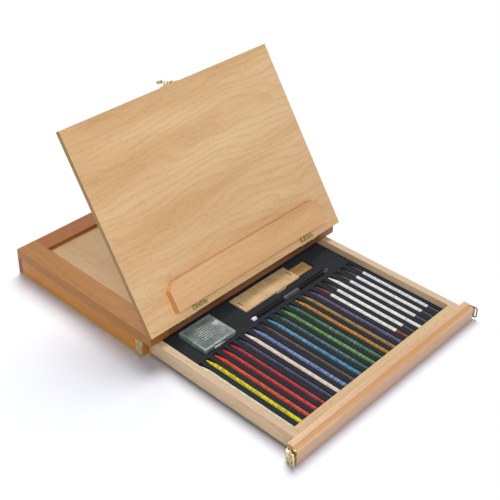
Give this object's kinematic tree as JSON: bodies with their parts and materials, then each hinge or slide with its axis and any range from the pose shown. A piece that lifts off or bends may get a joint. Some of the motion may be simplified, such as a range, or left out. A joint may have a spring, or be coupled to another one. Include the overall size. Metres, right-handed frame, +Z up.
{
  "type": "pastel drawer box",
  "caption": "Shallow wooden box with a pull-out drawer of pencils in foam, and a hinged drawing board on a folding prop, with a fold-down ledge.",
  "frame": {"origin": "middle of the box's underside, on the table", "axes": "+X to the right as one draws, +Y away from the one who draws, so the drawer pulls out along -Y, +Z up"},
  "size_m": [0.4088, 0.577, 0.3057],
  "materials": {
    "beech_case": "satin varnish",
    "plywood": "sanded",
    "beech_drawer": "sanded",
    "board_ply": "satin varnish",
    "beech_ledge": "satin varnish",
    "prop_beech": "sanded",
    "brass": "brushed",
    "foam": "matte",
    "pencil_paint": "satin paint",
    "pencil_core": "matte",
    "clear_plastic": "translucent",
    "paddle_wood": "sanded",
    "sandpaper": "matte",
    "steel": "bright",
    "black_plastic": "satin",
    "chalk": "matte",
    "rubber": "matte"
  },
  "bodies": {
    "case": {"case_bottom": "plywood", "wall_left": "beech_case", "wall_right": "beech_case", "wall_back": "beech_case", "frame_rail_left": "beech_case", "frame_rail_right": "beech_case", "frame_rail_back": "beech_case", "frame_rail_front": "beech_case", "recess_panel": "plywood", "drawer_stop": "beech_case", "keeper_left": "brass", "keeper_right": "brass", "catch_keeper": "brass", "board_hinge_case_leaves": "brass"},
    "drawer": {"drawer_side_left": "beech_drawer", "drawer_side_right": "beech_drawer", "drawer_inner_front": "beech_drawer", "drawer_back": "beech_drawer", "drawer_bottom": "plywood", "drawer_front": "beech_drawer", "foam_insert": "foam", "pencil_barrels": "pencil_paint", "pencil_points": "pencil_core", "plastic_case_base": "clear_plastic", "plastic_case_lid": "clear_plastic", "sandpaper_paddle": "paddle_wood", "sandpaper_pad": "sandpaper", "holder_barrel": "black_plastic", "holder_band": "steel", "holder_tip": "chalk", "holder_cap": "black_plastic", "latch_base_left": "brass", "latch_base_right": "brass"},
    "lever_left": {"latch_lever_left": "brass"},
    "lever_right": {"latch_lever_right": "brass"},
    "bail_left": {"latch_bail_left": "brass"},
    "bail_right": {"latch_bail_right": "brass"},
    "board": {"easel_board": "board_ply", "board_hinge_board_leaves": "brass", "ledge_hinge_board_leaves": "brass", "prop_hinge_board_leaves": "brass", "catch_base": "brass"},
    "ledge": {"ledge": "beech_ledge", "ledge_hinge_leaves": "brass"},
    "prop": {"prop_leg_left": "prop_beech", "prop_leg_right": "prop_beech", "prop_cross_rail": "prop_beech", "prop_hinge_leaves": "brass", "prop_feet": "rubber"},
    "hasp": {"catch_hasp": "brass"}
  },
  "joints": [
    {"name": "drawer_slide", "type": "slide", "parent": "case", "child": "drawer", "axis": [0, 1, 0], "range_m": [0, 0.2637]},
    {"name": "board_tilt", "type": "hinge", "parent": "case", "child": "board", "pos_m": [0, -0.1605, 0.045], "axis": [1, 0, 0], "range_deg": [-56.2, 6]},
    {"name": "prop_fold", "type": "hinge", "parent": "board", "child": "prop", "pos_m": [0, -0.08955, 0.14793], "axis": [1, 0, 0], "range_deg": [-12.1, 112.5]},
    {"name": "ledge_fold", "type": "hinge", "parent": "board", "child": "ledge", "pos_m": [0, -0.1611, 0.06225], "axis": [1, 0, 0], "range_deg": [0, 90]},
    {"name": "hasp_swing", "type": "hinge", "parent": "board", "child": "hasp", "pos_m": [0, 0.00749, 0.30403], "axis": [1, 0, 0], "range_deg": [-8, 100]},
    {"name": "lever_left_swing", "type": "hinge", "parent": "drawer", "child": "lever_left", "pos_m": [-0.1986, -0.4082, 0.0125], "axis": [0, 0, -1], "range_deg": [0, 80]},
    {"name": "bail_left_swing", "type": "hinge", "parent": "lever_left", "child": "bail_left", "pos_m": [-0.2, -0.4135, 0.0125], "axis": [0, 0, -1], "range_deg": [-22, 72]},
    {"name": "lever_right_swing", "type": "hinge", "parent": "drawer", "child": "lever_right", "pos_m": [0.1986, -0.4082, 0.0125], "axis": [0, 0, 1], "range_deg": [0, 80]},
    {"name": "bail_right_swing", "type": "hinge", "parent": "lever_right", "child": "bail_right", "pos_m": [0.2, -0.4135, 0.0125], "axis": [0, 0, 1], "range_deg": [-5, 89]}
  ],
  "couplings": [
    {"joint": "prop_fold", "follows": "board_tilt", "ratio": -2}
  ]
}
